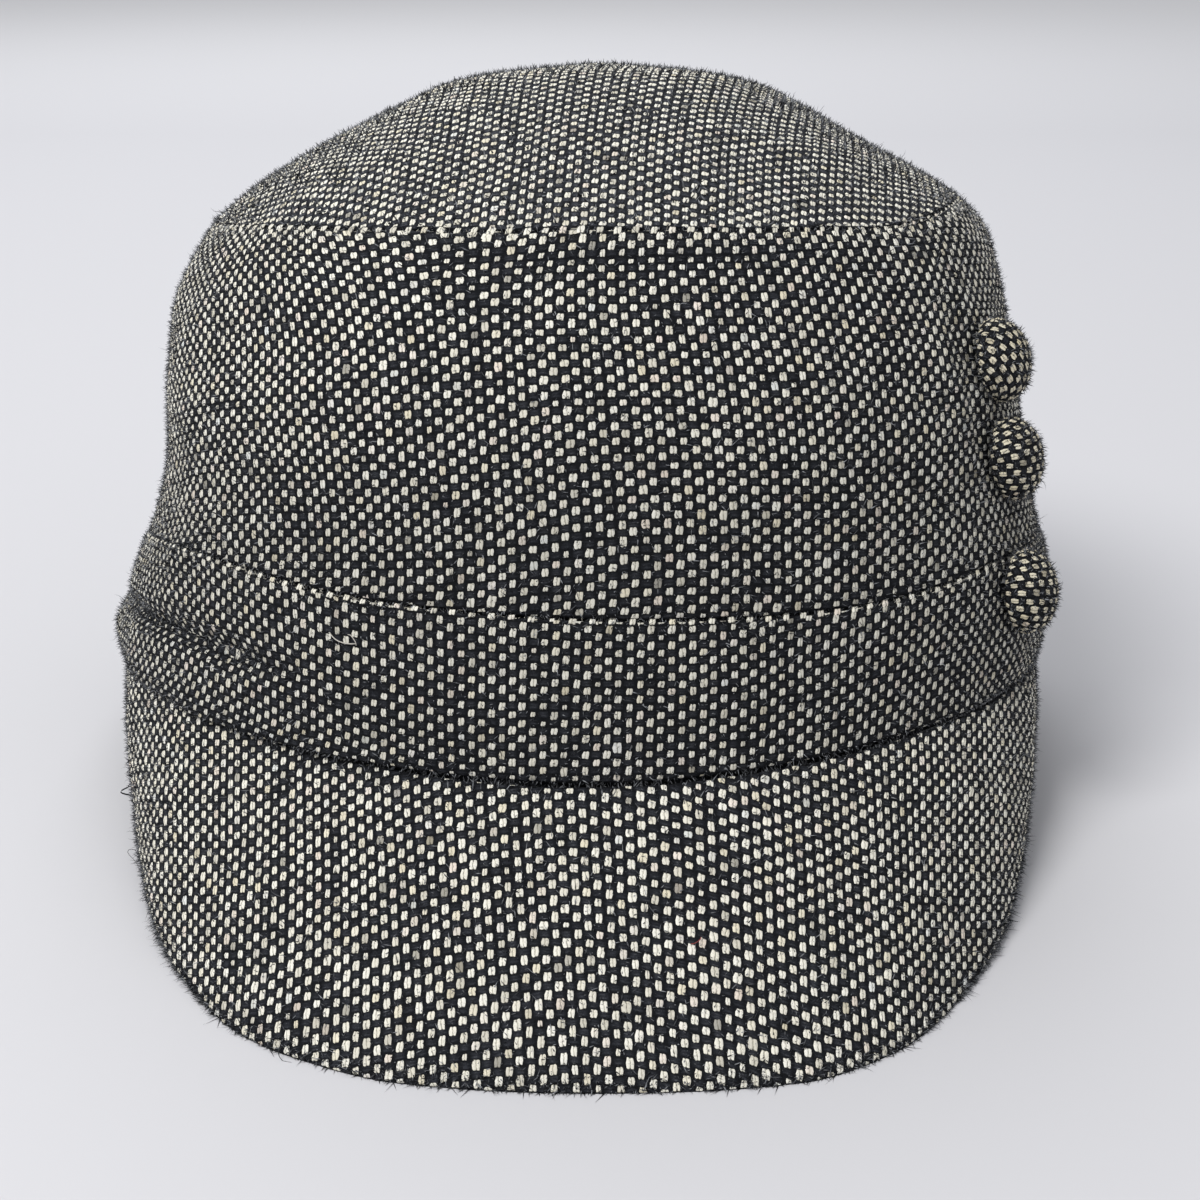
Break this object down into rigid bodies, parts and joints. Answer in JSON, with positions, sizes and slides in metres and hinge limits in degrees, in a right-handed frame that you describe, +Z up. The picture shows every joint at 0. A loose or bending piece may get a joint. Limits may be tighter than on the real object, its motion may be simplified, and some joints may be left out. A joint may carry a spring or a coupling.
{
  "type": "cadet cap",
  "caption": "Cadet cap in black and cream tweed, with a domed crown, a flaring band, a wide wrap-around peak and cloth-covered buttons.",
  "frame": {"origin": "on the floor under the middle of the cap's bounding box, with the cap lying by itself on its peak's edge and the back of its band", "axes": "+Z up, -Y the way the peak points, +X to the wearer's left, where the buttons are"},
  "size_m": [0.1802, 0.2358, 0.1276],
  "materials": {
    "crown_cloth": "black and cream woollen tweed, plain weave, slightly fuzzy",
    "band_cloth": "the same tweed, cut as a strip",
    "peak_cloth": "the same tweed over a bent stiff sheet",
    "button_cloth": "the same tweed drawn over button moulds"
  },
  "bodies": {
    "root": {"crown_top": "crown_cloth", "crown_side": "crown_cloth", "band": "band_cloth", "peak": "peak_cloth", "button_upper": "button_cloth", "button_middle": "button_cloth", "button_lower": "button_cloth"}
  },
  "joints": []
}
